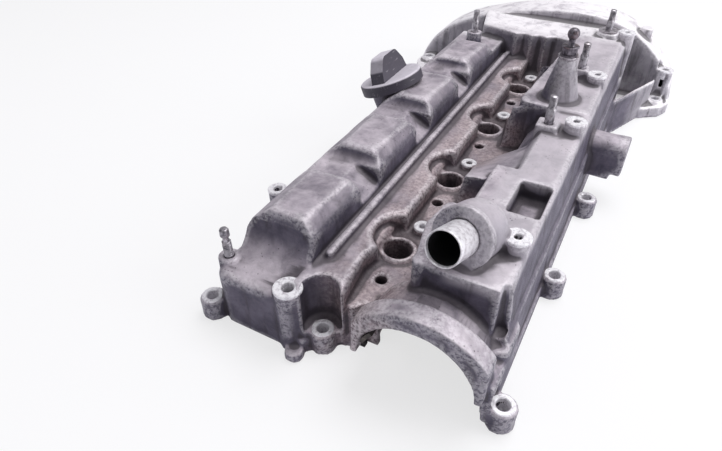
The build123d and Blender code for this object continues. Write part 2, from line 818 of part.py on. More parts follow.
with BuildPart() as pipe:
    disc_on(collar_plane, pipe_insert_radius, -pipe_seat, pipe_wall)
    disc_on(collar_plane, pipe_radius, 0, pipe_stand)
    disc_on(collar_plane, pipe_radius - pipe_wall, -pipe_seat - 1, pipe_stand + 1, Mode.SUBTRACT)
export("breather_pipe", pipe, "breather_pipe")

with BuildPart() as baffle:
    sheet = [
        (baffle_left, baffle_height - baffle_lip),
        (baffle_left, baffle_height + baffle_thickness),
        (baffle_right, baffle_height + baffle_thickness),
        (baffle_right, baffle_height - baffle_lip),
        (baffle_right - baffle_thickness, baffle_height - baffle_lip),
        (baffle_right - baffle_thickness, baffle_height),
        (baffle_left + baffle_thickness, baffle_height),
        (baffle_left + baffle_thickness, baffle_height - baffle_lip),
    ]
    bar(sheet, baffle_front, baffle_back)
    columns(baffle_pads, baffle_screw_radius, baffle_height - 1, baffle_height + 3, Mode.SUBTRACT)
export("baffle_plate", baffle, "baffle_plate")

with BuildPart() as screws:
    columns(baffle_pads, baffle_head_radius, baffle_height - 2.6, baffle_height)
    columns(baffle_pads, baffle_screw_radius, baffle_height - 1, baffle_height + 9)
export("baffle_screws", screws, "baffle_screws")

for name, (place, base) in stud_seats.items():
    seat = base + (washer_thickness if name == "stud_far_right" else 0.0)
    with BuildPart() as stud:
        columns([place], stud_radius, base - stud_hole_depth, base + stud_length)
        columns([place], stud_shank_radius, seat, base + stud_shank)
        chamfer(stud.faces().sort_by(Axis.Z)[-1].edges(), 0.8)
    export(name, stud, name)

far_place, far_base = stud_seats["stud_far_right"]
with BuildPart() as roof_washer:
    columns([far_place], roof_washer_radius, far_base, far_base + washer_thickness)
    columns([far_place], stud_radius, far_base - 1, far_base + washer_thickness + 1, Mode.SUBTRACT)
export("roof_washer", roof_washer, "roof_washer")

with BuildPart() as ball_washer:
    columns([(tower_x, tower_y)], tower_washer_radius, tower_height, tower_height + washer_thickness)
    columns([(tower_x, tower_y)], stud_radius, tower_height - 1, tower_height + washer_thickness + 1, Mode.SUBTRACT)
export("ball_stud_washer", ball_washer, "ball_stud_washer")

hex_base = tower_height + washer_thickness
with BuildPart() as ball_stud:
    columns([(tower_x, tower_y)], stud_radius, tower_height - stud_hole_depth, hex_base + 1)
    columns([(tower_x, tower_y)], tower_washer_radius - 1.2, hex_base, hex_base + 1.4)
    with BuildSketch(Plane.XY.offset(hex_base + 1)) as hexagon:
        with Locations((tower_x, tower_y)):
            RegularPolygon(hex_across / 2, 6, major_radius=False)
    extrude(hexagon.sketch, amount=5)
    columns([(tower_x, tower_y)], tower_top_radius - 0.6, hex_base + 6, hex_base + 7.4)
    columns([(tower_x, tower_y)], ball_neck_radius, hex_base + 7, hex_base + ball_rise)
    with Locations((tower_x, tower_y, hex_base + ball_rise)):
        Sphere(ball_radius)
export("ball_stud", ball_stud, "ball_stud")

with BuildPart() as torn_seal:
    with BuildSketch(Plane.XZ.offset(-front_end - 9)) as strip:
        with BuildLine():
            inner_arc = CenterArc((arch_x, arch_z), arch_radius - seal_bit_thickness, 138, 20)
            outer_arc = CenterArc((arch_x, arch_z), arch_radius, 138, 20)
            Line(inner_arc @ 0, outer_arc @ 0)
            Line(inner_arc @ 1, outer_arc @ 1)
        make_face()
    extrude(strip.sketch, amount=9)
export("arch_seal_remnant", torn_seal, "arch_seal_remnant")
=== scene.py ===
"""Valve cover of a four-cylinder diesel engine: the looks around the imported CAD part.

Every piece is a surface computed with numpy in the frame of the CAD part, in metres. The
casting is the CAD solid with its edges rounded as a sand mould leaves them.
"""

import math

import bmesh
import bpy
import numpy as np
from mathutils import Matrix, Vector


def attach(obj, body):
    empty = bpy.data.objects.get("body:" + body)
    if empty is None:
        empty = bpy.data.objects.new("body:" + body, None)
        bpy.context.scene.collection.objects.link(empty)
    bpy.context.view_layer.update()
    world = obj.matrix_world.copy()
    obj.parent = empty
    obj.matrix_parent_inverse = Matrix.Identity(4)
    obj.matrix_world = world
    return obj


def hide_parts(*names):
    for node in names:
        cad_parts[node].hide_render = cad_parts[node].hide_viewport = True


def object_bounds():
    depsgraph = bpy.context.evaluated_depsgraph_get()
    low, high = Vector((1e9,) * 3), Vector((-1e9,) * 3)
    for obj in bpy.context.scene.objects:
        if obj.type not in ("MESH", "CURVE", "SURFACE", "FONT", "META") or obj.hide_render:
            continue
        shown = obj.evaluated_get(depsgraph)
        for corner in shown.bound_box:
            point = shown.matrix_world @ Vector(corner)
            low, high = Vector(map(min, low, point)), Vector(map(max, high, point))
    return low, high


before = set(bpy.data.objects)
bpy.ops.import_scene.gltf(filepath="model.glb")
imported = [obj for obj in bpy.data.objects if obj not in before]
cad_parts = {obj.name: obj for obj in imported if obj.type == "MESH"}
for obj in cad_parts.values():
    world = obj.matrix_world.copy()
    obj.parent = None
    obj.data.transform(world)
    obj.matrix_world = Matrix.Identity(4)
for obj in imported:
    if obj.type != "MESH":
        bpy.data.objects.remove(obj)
cad_low, cad_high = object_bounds()
cad_box = [list(cad_low), list(cad_high)]

bl_info = {
    "name": "Valve cover looks",
    "version": (1, 0, 0),
    "blender": (4, 5, 0),
    "location": "View3D > Sidebar > Valve cover",
    "description": "Builds the visible surfaces and finishes of a cast valve cover",
    "category": "Object",
}

MM = 0.001

# Places of the machined faces and fittings, in millimetres, as the CAD part has them
bore_pitch = 94.0
bolt_ears = [(-101, -79), (-101, 46), (-101, 130), (-101, 236), (-137, 374)]
bolt_ears += [(98, -67), (98, 50), (99, 155), (99, 258), (127, 376)]
bolt_ears += [(-19.5, -68)]
roof_posts = [(78, -14), (78, 134), (76, 226), (83, 343)]
clamp_seats = [(6, 27 + bore_pitch * i) for i in range(4)]
injector_wells = [(0, bore_pitch * i) for i in range(4)]
glow_wells = [(2, -29.5 + bore_pitch * i) for i in range(4)]


def tone(red, green, blue):
    """Colour given as it looks on screen, 0 to 255, in the linear values that a shader takes."""
    levels = np.array([red, green, blue]) / 255.0
    linear = np.where(levels <= 0.04045, levels / 12.92, ((levels + 0.055) / 1.055) ** 2.4)
    return (*[float(v) for v in linear], 1.0)


class Finish:
    """A node material under construction, worked out from the place on the piece."""

    def __init__(self, name):
        self.material = bpy.data.materials.new(name)
        self.material.use_nodes = True
        self.tree = self.material.node_tree
        self.shader = next(n for n in self.tree.nodes if n.type == "BSDF_PRINCIPLED")
        self.place = self.node("ShaderNodeTexCoord").outputs["Object"]

    def node(self, kind, links=None, **settings):
        """Add a node, set its fields and feed its sockets, by name or number, with a value or an output."""
        made = self.tree.nodes.new(kind)
        for key, value in settings.items():
            setattr(made, key, value)
        for key, value in (links or {}).items():
            if isinstance(value, bpy.types.NodeSocket):
                self.tree.links.new(value, made.inputs[key])
            else:
                made.inputs[key].default_value = value
        return made

    def math(self, operation, first, second=0.0, clamp=False):
        """Arithmetic on two numbers."""
        made = self.node("ShaderNodeMath", {0: first, 1: second}, operation=operation, use_clamp=clamp)
        return made.outputs[0]

    def noise(self, scale, detail=4.0, roughness=0.55, stretch=(1, 1, 1), distortion=0.0):
        """Cloudy pattern, from 0 to 1, with scale in features a metre."""
        spread = self.node("ShaderNodeMapping", {"Vector": self.place, "Scale": stretch})
        made = self.node(
            "ShaderNodeTexNoise",
            {
                "Vector": spread.outputs[0],
                "Scale": scale,
                "Detail": detail,
                "Roughness": roughness,
                "Distortion": distortion,
            },
        )
        return made.outputs[0]

    def grains(self, scale, randomness=1.0):
        """Distance to the nearest of many scattered points."""
        made = self.node(
            "ShaderNodeTexVoronoi",
            {"Vector": self.place, "Scale": scale, "Randomness": randomness},
        )
        return made.outputs["Distance"]

    def range(self, value, low, high, smooth=True):
        """Rise from 0 to 1 as the value goes from low to high."""
        made = self.node(
            "ShaderNodeMapRange",
            {"Value": value, "From Min": low, "From Max": high},
            interpolation_type="SMOOTHSTEP" if smooth else "LINEAR",
        )
        return made.outputs[0]

    def mix(self, factor, first, second, blend="MIX"):
        """Blend of two colours."""
        made = self.node("ShaderNodeMix", data_type="RGBA", blend_type=blend)
        for socket, value in ((0, factor), (6, first), (7, second)):
            if isinstance(value, bpy.types.NodeSocket):
                self.tree.links.new(value, made.inputs[socket])
            else:
                made.inputs[socket].default_value = value
        return made.outputs[2]

    def axis(self, letter):
        """One coordinate of the place, in metres."""
        split = self.node("ShaderNodeSeparateXYZ", {0: self.place})
        return split.outputs[letter]

    def facing(self, letter):
        """One component of the surface's own direction."""
        made = self.node("ShaderNodeNewGeometry")
        split = self.node("ShaderNodeSeparateXYZ", {0: made.outputs["Normal"]})
        return split.outputs[letter]

    def attribute(self, name):
        """A number stored on the mesh."""
        return self.node("ShaderNodeAttribute", attribute_name=name).outputs["Fac"]

    def relief(self, height, distance, strength=1.0, below=None):
        """Bump from a height pattern, with its depth in metres."""
        links = {"Height": height, "Distance": distance, "Strength": strength}
        if below is not None:
            links["Normal"] = below
        return self.node("ShaderNodeBump", links).outputs[0]

    def finish(self, colour, roughness, metallic=0.0, normal=None, **fixed):
        """Feed the shader and return the material."""
        for key, value in (
            ("Base Color", colour),
            ("Roughness", roughness),
            ("Metallic", metallic),
            ("Normal", normal),
        ):
            if isinstance(value, bpy.types.NodeSocket):
                self.tree.links.new(value, self.shader.inputs[key])
            elif value is not None:
                self.shader.inputs[key].default_value = value
        for key, value in fixed.items():
            self.shader.inputs[key.replace("_", " ")].default_value = value
        return self.material


def surface(points, around=True, along=False):
    """Faces of a grid of points. The grid is rows by columns; around closes each row on itself,
    and along joins the last row to the first."""
    rows, columns = points.shape[:2]
    i, j = np.meshgrid(
        np.arange(rows if along else rows - 1),
        np.arange(columns if around else columns - 1),
        indexing="ij",
    )
    after_i = (i + 1) % rows
    after_j = (j + 1) % columns
    corners = [i * columns + j, i * columns + after_j, after_i * columns + after_j, after_i * columns + j]
    return points.reshape(-1, 3), np.stack(corners, -1).reshape(-1, 4)


def join(parts):
    """Several surfaces as one list of points and one of faces."""
    points, faces, start = [], [], 0
    for some_points, some_faces in parts:
        points.append(some_points)
        faces.append(some_faces + start)
        start += len(some_points)
    return np.concatenate(points), np.concatenate(faces)


def piece(name, shape, material, body, replaced=(), sharp=35.0, outward=True):
    """Object from points in millimetres and faces: doubles merged, faces outwards, hard edges kept."""
    points, faces = shape
    mesh = bpy.data.meshes.new(name)
    mesh.from_pydata((points * MM).tolist(), [], faces.tolist())
    work = bmesh.new()
    work.from_mesh(mesh)
    bmesh.ops.remove_doubles(work, verts=work.verts, dist=1e-6)
    bmesh.ops.dissolve_degenerate(work, edges=work.edges, dist=1e-7)
    if outward:
        bmesh.ops.recalc_face_normals(work, faces=work.faces)
    work.to_mesh(mesh)
    work.free()
    return stand(name, mesh, material, body, replaced, sharp)


def stand(name, mesh, material, body, replaced=(), sharp=35.0):
    """Put a finished mesh in the scene, on its body, in place of the CAD nodes it stands for."""
    mesh.materials.clear()
    mesh.materials.append(material)
    mesh.polygons.foreach_set("use_smooth", np.ones(len(mesh.polygons), bool))
    mesh.set_sharp_from_angle(angle=math.radians(sharp))
    made = bpy.data.objects.new(name, mesh)
    bpy.context.scene.collection.objects.link(made)
    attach(made, body)
    if replaced:
        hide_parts(*replaced)
    return made


def turned(profile, place=(0.0, 0.0), segments=48, closed=False):
    """Surface of revolution about an upright axis: each row is a circle of the profile's radius at
    the profile's height. A closed profile joins its last row to its first."""
    profile = np.asarray(profile, float)
    angle = np.linspace(0, 2 * math.pi, segments, endpoint=False)
    radius = profile[:, 0, None]
    points = np.stack(
        [
            place[0] + radius * np.cos(angle),
            place[1] + radius * np.sin(angle),
            np.repeat(profile[:, 1, None], segments, 1),
        ],
        -1,
    )
    return surface(points, around=True, along=closed)


def on_axis(shape, origin, direction):
    """Carry a shape made about the upright axis to an axis through a point, by one rotation."""
    points, faces = shape
    along = np.asarray(direction, float) / np.linalg.norm(direction)
    side = np.cross((0.0, 1.0, 0.0), along)
    side /= np.linalg.norm(side)
    other = np.cross(along, side)
    return points @ np.array([side, other, along]) + np.asarray(origin, float), faces


def machined_ring(place, outer, inner, height, sleeve=5.0, proud=0.12, edge=0.5):
    """Skin of a spot-faced boss: its outer edge, its flat face, its chamfers and the mouth of its hole."""
    out, within = outer + proud, inner - proud
    top = height + proud
    profile = [
        (out, height - 1.8),
        (out, top - edge),
        (out - edge, top),
        (within + edge * 1.2, top),
        (within, top - edge * 1.2),
        (within, height - sleeve),
        (within + 0.7, height - sleeve),
        (within + 0.7, height - 1.0),
        (out - 0.8, height - 1.0),
        (out - 0.8, height - 1.8),
    ]
    return turned(profile, place, 56, closed=True)


def thread_rows(place, low, high, outer, depth, pitch, segments=40, samples=10, runout=1.0):
    """Threaded rod: the radius falls from the crest to the root with the distance, along the axis,
    from a helix of the given pitch, and fades out at both ends."""
    rows = int((high - low) / pitch * samples) + 1
    height = np.linspace(low, high, rows)[:, None]
    angle = np.linspace(0, 2 * math.pi, segments, endpoint=False)[None, :]
    turn = (height / pitch - angle / (2 * math.pi)) % 1.0
    groove = np.clip(1.35 * (1 - np.abs(2 * turn - 1)) - 0.12, 0, 1)
    fade = np.clip((height - low) / runout, 0, 1) * np.clip((high - height) / (0.4 * runout), 0, 1)
    radius = outer - depth * groove * np.clip(fade, 0, 1)
    return np.stack(
        [
            place[0] + radius * np.cos(angle),
            place[1] + radius * np.sin(angle),
            np.broadcast_to(height, radius.shape),
        ],
        -1
    )


def circle_rows(place, profile, segments=40):
    """Rows of circles for the plain stretches of a rod."""
    profile = np.asarray(profile, float)
    angle = np.linspace(0, 2 * math.pi, segments, endpoint=False)[None, :]
    radius = profile[:, 0, None]
    height = np.broadcast_to(profile[:, 1, None], (len(profile), segments))
    return np.stack([place[0] + radius * np.cos(angle), place[1] + radius * np.sin(angle), height], -1)


def many_sided_rows(place, profile, sides, segments=72):
    """Rows whose outline goes from a circle to a polygon. Each row has an across-flats radius, a
    height and the largest radius that the chamfer leaves; the polygon's radius is the flat's over
    the cosine of the angle from its middle."""
    profile = np.asarray(profile, float)
    angle = np.linspace(0, 2 * math.pi, segments, endpoint=False)[None, :]
    step = 2 * math.pi / sides
    bent = (angle + step / 2) % step - step / 2
    radius = np.minimum(profile[:, 0, None] / np.cos(bent), profile[:, 2, None])
    height = np.broadcast_to(profile[:, 1, None], radius.shape)
    return np.stack([place[0] + radius * np.cos(angle), place[1] + radius * np.sin(angle), height], -1)


def neighbour_mean(values, edges, count):
    """Mean of each point's neighbours along the edges, for every point at once."""
    total = np.zeros_like(values)
    for column in range(values.shape[1]):
        total[:, column] = np.bincount(edges[:, 0], values[edges[:, 1], column], len(values))
        total[:, column] += np.bincount(edges[:, 1], values[edges[:, 0], column], len(values))
    return total / np.maximum(count, 1)[:, None]


def waves(points, size, seed):
    """Smooth unevenness between -1 and 1: a sum of sine waves of about one length in seeded directions."""
    generator = np.random.default_rng(seed)
    total = np.zeros(len(points))
    for _ in range(14):
        direction = generator.normal(size=3)
        direction /= np.linalg.norm(direction)
        length = size * generator.uniform(0.6, 1.5)
        total += np.sin(points @ direction * 2 * math.pi / length + generator.uniform(0, 2 * math.pi))
    return total / 5.0


def rounded_casting(settings):
    """The CAD casting as one closed skin of even quads, with its corners and hollows rounded, a
    slight unevenness pushed inwards, and how sharp or hollow each point is stored with it."""
    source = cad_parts["cover_casting"]
    copy = source.data.copy()
    work = bmesh.new()
    work.from_mesh(copy)
    bmesh.ops.remove_doubles(work, verts=work.verts, dist=1e-6)
    work.to_mesh(copy)
    work.free()
    shell = bpy.data.objects.new("casting_work", copy)
    bpy.context.scene.collection.objects.link(shell)
    remesh = shell.modifiers.new("even", "REMESH")
    remesh.mode = "VOXEL"
    remesh.voxel_size = settings.skin_cell * MM
    soften = shell.modifiers.new("soften", "SMOOTH")
    soften.factor = 0.5
    soften.iterations = settings.soften_rounds
    graph = bpy.context.evaluated_depsgraph_get()
    dense = bpy.data.meshes.new_from_object(shell.evaluated_get(graph))
    points = np.zeros(len(dense.vertices) * 3)
    dense.vertices.foreach_get("co", points)
    points = points.reshape(-1, 3)
    edges = np.zeros(len(dense.edges) * 2, int)
    dense.edges.foreach_get("vertices", edges)
    edges = edges.reshape(-1, 2)
    normals = np.zeros(len(dense.vertices) * 3)
    dense.vertices.foreach_get("normal", normals)
    normals = normals.reshape(-1, 3)
    count = np.bincount(edges.ravel(), minlength=len(points))
    smooth = points
    for _ in range(8):
        smooth = neighbour_mean(smooth, edges, count)
    sharpness = ((points - smooth) * normals).sum(1) / MM
    for _ in range(2):
        sharpness = 0.5 * sharpness + 0.5 * neighbour_mean(sharpness[:, None], edges, count)[:, 0]
    keep = np.clip((points[:, 2] / MM - 1.5) / 4.0, 0, 1)
    sink = settings.unevenness * MM * keep * (0.5 + 0.5 * np.clip(waves(points / MM, 26.0, 4), -1, 1))
    points = points - normals * sink[:, None]
    points = np.clip(points, np.array(cad_box[0]), np.array(cad_box[1]))
    dense.vertices.foreach_set("co", points.ravel())
    # Stored sharpness: high values give the bare metal of worn edges, low values the painted shade in the
    # hollows.
    stored = dense.attributes.new("edge_wear_and_hollow_shade", "FLOAT", "POINT")
    stored.data.foreach_set("value", sharpness.astype(np.float32))
    dense.update()
    shell.modifiers.clear()
    shell.data = dense
    thin = shell.modifiers.new("thin", "DECIMATE")
    thin.ratio = min(1.0, settings.skin_triangles / (2.0 * len(dense.polygons)))
    graph = bpy.context.evaluated_depsgraph_get()
    final = bpy.data.meshes.new_from_object(shell.evaluated_get(graph))
    final.name = "casting_skin"
    bpy.data.objects.remove(shell)
    return final


def casting_material(settings):
    """Weathered cast aluminium: grey oxide on the tops, darker copies of it on the upright faces as
    painted shade, brown oil film in the valley, brighter metal on the flared end, painted shade in
    the hollows and bare metal on the worn edges."""
    f = Finish("cast_aluminium")
    # Per-point sharpness: worn edges where high, painted shade in the hollows where low.
    worn = f.attribute("edge_wear_and_hollow_shade")
    up = f.facing("Z")
    broad = f.noise(22.0, 5.0, 0.6)
    blotch = f.noise(70.0, 6.0, 0.65, distortion=0.4)
    speck = f.noise(420.0, 6.0, 0.7)
    fine = f.noise(1500.0, 3.0, 0.6)
    colour = f.mix(f.range(blotch, 0.24, 0.78), tone(*settings.oxide_dark), tone(*settings.oxide_light))
    colour = f.mix(f.range(broad, 0.42, 0.68), colour, f.mix(0.5, colour, tone(*settings.oxide_pale)))
    # Upright faces take darker copies of the oxide colours, the tops stay lighter: painted shade on the
    # sides.
    level = f.range(up, 0.32, 0.95)
    side = f.mix(f.range(blotch, 0.24, 0.8), tone(*settings.shaded_side_dark), tone(*settings.shaded_side_light))
    colour = f.mix(level, side, colour)

    across, along, high = f.axis("X"), f.axis("Y"), f.axis("Z")
    in_valley = f.math("MULTIPLY", f.range(across, -0.034, -0.012), f.range(across, 0.044, 0.030))
    in_valley = f.math("MULTIPLY", in_valley, f.range(high, 0.074, 0.052))
    in_valley = f.math("MULTIPLY", in_valley, f.range(along, 0.345, 0.325))
    brown = f.mix(f.range(speck, 0.38, 0.62), tone(*settings.film_dark), tone(*settings.film_light))
    valley_share = f.math("MULTIPLY", in_valley, f.range(broad, 0.25, 0.55))
    colour = f.mix(f.math("MULTIPLY", valley_share, 0.6), colour, brown)

    stain = f.math("MULTIPLY", f.range(f.noise(46.0, 5.0, 0.7, distortion=1.2), 0.54, 0.74), 0.38)
    colour = f.mix(stain, colour, f.mix(0.75, colour, tone(*settings.soot_and_hollow_shade), "MULTIPLY"))
    on_roof = f.math("MULTIPLY", f.range(across, 0.046, 0.054), f.range(high, 0.072, 0.079))
    colour = f.mix(f.math("MULTIPLY", on_roof, 0.5), colour, tone(*settings.bare_dark))
    at_end = f.range(along, 0.318, 0.350)
    bright = f.mix(f.range(blotch, 0.3, 0.55), tone(*settings.bare_dark), tone(*settings.bare_light))
    colour = f.mix(f.math("MULTIPLY", at_end, f.range(up, -0.25, 0.45)), colour, bright)
    drip = f.noise(120.0, 4.0, 0.6, stretch=(1.0, 1.0, 0.12))
    drip = f.math("MULTIPLY", f.range(drip, 0.5, 0.68), f.range(up, 0.6, 0.1))
    colour = f.mix(f.math("MULTIPLY", drip, 0.55), colour, tone(*settings.soot_and_hollow_shade))
    # Concave points are darkened toward the soot colour: painted shade in the hollows.
    hollow = f.math("MULTIPLY", f.range(worn, -0.04, -0.32), 0.75)
    colour = f.mix(hollow, colour, tone(*settings.soot_and_hollow_shade))
    pits = f.range(f.grains(330.0), 0.20, 0.06)
    pits = f.math("MULTIPLY", pits, f.range(f.noise(60.0, 3.0), 0.46, 0.60))
    colour = f.mix(f.math("MULTIPLY", pits, 0.75), colour, tone(*settings.soot_and_hollow_shade))
    rub = f.math("MULTIPLY", f.range(worn, 0.06, 0.34), f.range(speck, 0.36, 0.58))
    colour = f.mix(f.math("MULTIPLY", rub, 0.3), colour, tone(*settings.bare_light))

    rough = f.math("ADD", f.math("MULTIPLY", speck, 0.28), 0.42)
    rough = f.math("SUBTRACT", rough, f.math("MULTIPLY", rub, 0.15))
    coarse = f.relief(f.noise(90.0, 4.0, 0.6), 0.0009, 0.55)
    grain = f.relief(f.math("ADD", speck, f.math("MULTIPLY", fine, 0.6)), 0.00035, 0.75, coarse)
    sunk = f.relief(f.math("SUBTRACT", 1.0, pits), 0.0004, 0.6, grain)
    return f.finish(colour, rough, settings.casting_metal, sunk)


def machined_material(settings):
    """Cut aluminium face: nearly white, with fine turning marks and a little grime."""
    f = Finish("machined_face")
    speck = f.noise(380.0, 5.0, 0.65)
    lines = f.noise(2400.0, 2.0, 0.5, stretch=(1.0, 0.25, 1.0))
    colour = f.mix(f.range(speck, 0.42, 0.7), tone(*settings.cut_light), tone(*settings.cut_dark))
    rough = f.math("ADD", f.math("MULTIPLY", lines, 0.25), 0.28)
    return f.finish(colour, rough, 0.15, f.relief(lines, 0.00008, 0.5))


def steel_material(settings, name, light, dark, metallic=0.85, rust=0.0, bare=0.35):
    """Plated steel: a light grey with darker spots and, where asked, rust."""
    f = Finish(name)
    speck = f.noise(300.0, 5.0, 0.65)
    colour = f.mix(f.range(speck, 0.4, 0.68), tone(*light), tone(*dark))
    if rust > 0:
        spot = f.range(f.noise(160.0, 5.0, 0.7, distortion=0.6), 0.52, 0.66)
        colour = f.mix(f.math("MULTIPLY", spot, rust), colour, tone(*settings.rust))
    rough = f.math("ADD", f.math("MULTIPLY", speck, 0.3), bare - 0.1)
    return f.finish(colour, rough, metallic, f.relief(f.noise(900.0, 3.0), 0.00012, 0.5))


def plastic_material(settings):
    """Aged black cap plastic: fine moulded grain, dust on the faces that look up."""
    f = Finish("cap_plastic")
    dust = f.noise(130.0, 5.0, 0.65)
    share = f.math("MULTIPLY", f.range(f.facing("Z"), 0.3, 0.85), f.range(dust, 0.0, 0.5))
    colour = f.mix(share, tone(*settings.cap_dark), tone(*settings.cap_dust))
    scuff = f.range(f.noise(520.0, 4.0, 0.6, stretch=(1.0, 0.2, 1.0)), 0.6, 0.75)
    colour = f.mix(f.math("MULTIPLY", scuff, 0.35), colour, tone(*settings.cap_dust))
    rough = f.math("ADD", f.math("MULTIPLY", dust, 0.2), 0.42)
    return f.finish(colour, rough, 0.0, f.relief(f.noise(1600.0, 2.0), 0.0001, 0.6))


def rubber_material(settings, name, colour, worn):
    """Moulded rubber: matt, with a faint bloom and a fine texture."""
    f = Finish(name)
    bloom = f.noise(180.0, 5.0, 0.6)
    mixed = f.mix(f.range(bloom, 0.45, 0.75), tone(*colour), tone(*worn))
    rough = f.math("ADD", f.math("MULTIPLY", bloom, 0.2), 0.6)
    return f.finish(mixed, rough, 0.0, f.relief(f.noise(1300.0, 3.0), 0.00015, 0.7))


def build_studs(settings):
    """Five studs: a plain shank below, a thread above."""
    plated = steel_material(settings, "stud_steel", (188, 184, 190), (104, 100, 108), 0.8, 0.25)
    places = {
        "stud_far_left": ((-61.0, 307.0), 81.0, 0.0),
        "stud_mid_block": ((59.0, 133.0), 87.0, 0.0),
        "stud_tower_side": ((61.5, 232.0), 93.0, 0.0),
        "stud_far_right": ((64.0, 361.0), 84.0, 1.6),
    }
    for name, (place, base, lift) in places.items():
        low = [(0.0, base - 12.0), (2.9, base - 12.0), (2.9, base + lift), (3.46, base + lift)]
        low += [(3.46, base + 10.9), (2.95, base + 11.4)]
        thread = thread_rows(place, base + 11.4, base + 20.9, 2.98, 0.5, 1.0)
        top = [(2.6, base + 21.0), (2.2, base + 21.45), (0.0, base + 21.5)]
        rows = np.concatenate([circle_rows(place, low), thread, circle_rows(place, top)])
        piece(name + "_threaded", surface(rows), plated, "cover", [name], 50.0)
    place, base = (-91.0, -66.0), 48.0
    low = [
        (0.0, base - 12.0),
        (2.9, base - 12.0),
        (2.9, base),
        (3.46, base),
        (3.46, base + 0.6),
        (3.0, base + 1.0),
    ]
    thread = thread_rows(place, base + 1.0, base + 11.0, 3.1, 0.5, 1.0)
    neck = [
        (2.3, base + 11.4),
        (2.05, base + 12.0),
        (2.0, base + 14.8),
        (2.6, base + 15.3),
        (3.1, base + 15.8),
    ]
    head = [
        (3.2, base + 16.4),
        (3.2, base + 19.4),
        (3.05, base + 20.4),
        (2.4, base + 21.3),
        (1.4, base + 21.45),
        (0.0, base + 21.1),
    ]
    rows = np.concatenate([circle_rows(place, low), thread, circle_rows(place, neck + head)])
    wobble = waves(rows.reshape(-1, 3), 5.0, 9).reshape(rows.shape[:2]) * 0.12
    above = np.clip((rows[..., 2] - base - 3.0) / 3.0, 0, 1) * wobble
    centre = np.array([place[0], place[1]])
    rows[..., :2] = centre + (rows[..., :2] - centre) * (1 - np.clip(above, 0, 1)[..., None] * 0.5)
    piece(
        "stud_front_left_threaded",
        surface(rows),
        plated,
        "cover",
        ["stud_front_left"],
        50.0,
    )


def build_ball_stud(settings):
    """Ball stud: hexagon with turned chamfers, a collar, a thin neck and a worn ball, on its washer."""
    dark = steel_material(settings, "ball_stud_steel", (128, 122, 130), (66, 62, 70), 0.75, 0.3, 0.4)
    place, base = (55.0, 184.5), 119.6
    below = circle_rows(
        place,
        [(0.0, 106.0), (2.9, 106.0), (2.9, base), (6.75, base), (6.8, base + 0.25), (6.8, base + 1.15)],
        72,
    )
    hexagon = many_sided_rows(
        place,
        [
            (5.5, base + 1.4, 5.75),
            (5.5, base + 1.7, 6.35),
            (5.5, base + 5.5, 6.35),
            (5.5, base + 5.9, 5.7),
        ],
        6,
    )
    ball_z = base + 16.5
    turns = np.linspace(-math.pi / 2 + 0.62, math.pi / 2 - 0.36, 18)
    ball = [(4.58 * math.cos(a), ball_z + 4.58 * math.sin(a)) for a in turns]
    above = [
        (5.3, base + 6.0),
        (6.5, base + 6.15),
        (6.55, base + 7.2),
        (6.3, base + 7.4),
        (3.0, base + 7.5),
        (2.55, base + 8.1),
    ]
    above += [(2.5, base + 11.6)] + ball + [(0.0, ball[-1][1] + 0.02)]
    rows = np.concatenate([below, hexagon, circle_rows(place, above, 72)])
    piece("ball_stud_turned", surface(rows), dark, "cover", ["ball_stud"], 40.0)
    washer_steel = steel_material(settings, "washer_plating", (196, 190, 196), (120, 114, 120), 0.8, 0.2)
    ring = [
        (3.05, 118.0),
        (7.8, 118.0),
        (7.98, 118.2),
        (7.98, 119.35),
        (7.8, 119.58),
        (3.25, 119.58),
        (3.05, 119.4),
    ]
    piece(
        "ball_stud_washer_rounded",
        turned(ring, place, 56, True),
        washer_steel,
        "cover",
        ["ball_stud_washer"],
    )
    ring = [(3.6, 84.0), (9.2, 84.0), (9.48, 84.25), (9.48, 85.3), (9.2, 85.58), (3.8, 85.58), (3.6, 85.4)]
    piece(
        "roof_washer_rounded",
        turned(ring, (64.0, 361.0), 56, True),
        washer_steel,
        "cover",
        ["roof_washer"],
    )


def build_pipe(settings):
    """Pressed-in breather pipe: a thin tube with a rounded mouth, open right
    through. The inner faces below the mouth are near-black: painted shade in the bore."""
    tilt, yaw = math.radians(18.0), math.radians(8.0)
    direction = (-math.sin(yaw) * math.cos(tilt), -math.cos(yaw) * math.cos(tilt), math.sin(tilt))
    outer, insert, inner = 10.58, 10.15, 9.5
    mouth = [
        (inner, 20.2),
        (inner + 0.2, 20.75),
        (inner + 0.55, 20.96),
        (outer - 0.25, 20.85),
        (outer, 20.3),
    ]
    profile = [(inner, -16.0), (inner, -4.0), (inner, 10.0), (inner, 18.6)] + mouth
    profile += [(outer, 18.0), (outer, 8.0), (outer, 0.05), (insert, 0.05), (insert, -8.0), (insert, -16.0)]
    steel = steel_material(settings, "pipe_steel", (244, 242, 246), (196, 190, 196), 0.35, 0.1, 0.3)
    # Near-black finish for the inside of the tube: painted shade in the bore.
    bore_shade = rubber_material(settings, "pipe_bore_shade", (14, 13, 16), (34, 31, 36))
    origin = (52.5, -37.0, 97.5)
    shape = on_axis(turned(profile, segments=96, closed=True), origin, direction)
    made = piece("breather_pipe_rolled", shape, steel, "cover", ["breather_pipe"], 50.0)
    made.data.materials.append(bore_shade)
    centres = np.empty(3 * len(made.data.polygons))
    made.data.polygons.foreach_get("center", centres)
    offsets = centres.reshape(-1, 3) / MM - np.array(origin)
    heights = offsets @ np.array(direction)
    radii = np.linalg.norm(offsets - np.outer(heights, direction), axis=1)
    inside = ((radii < inner + 0.03) & (heights < 18.6)).astype(np.int32)
    made.data.polygons.foreach_set("material_index", inside)
    return made


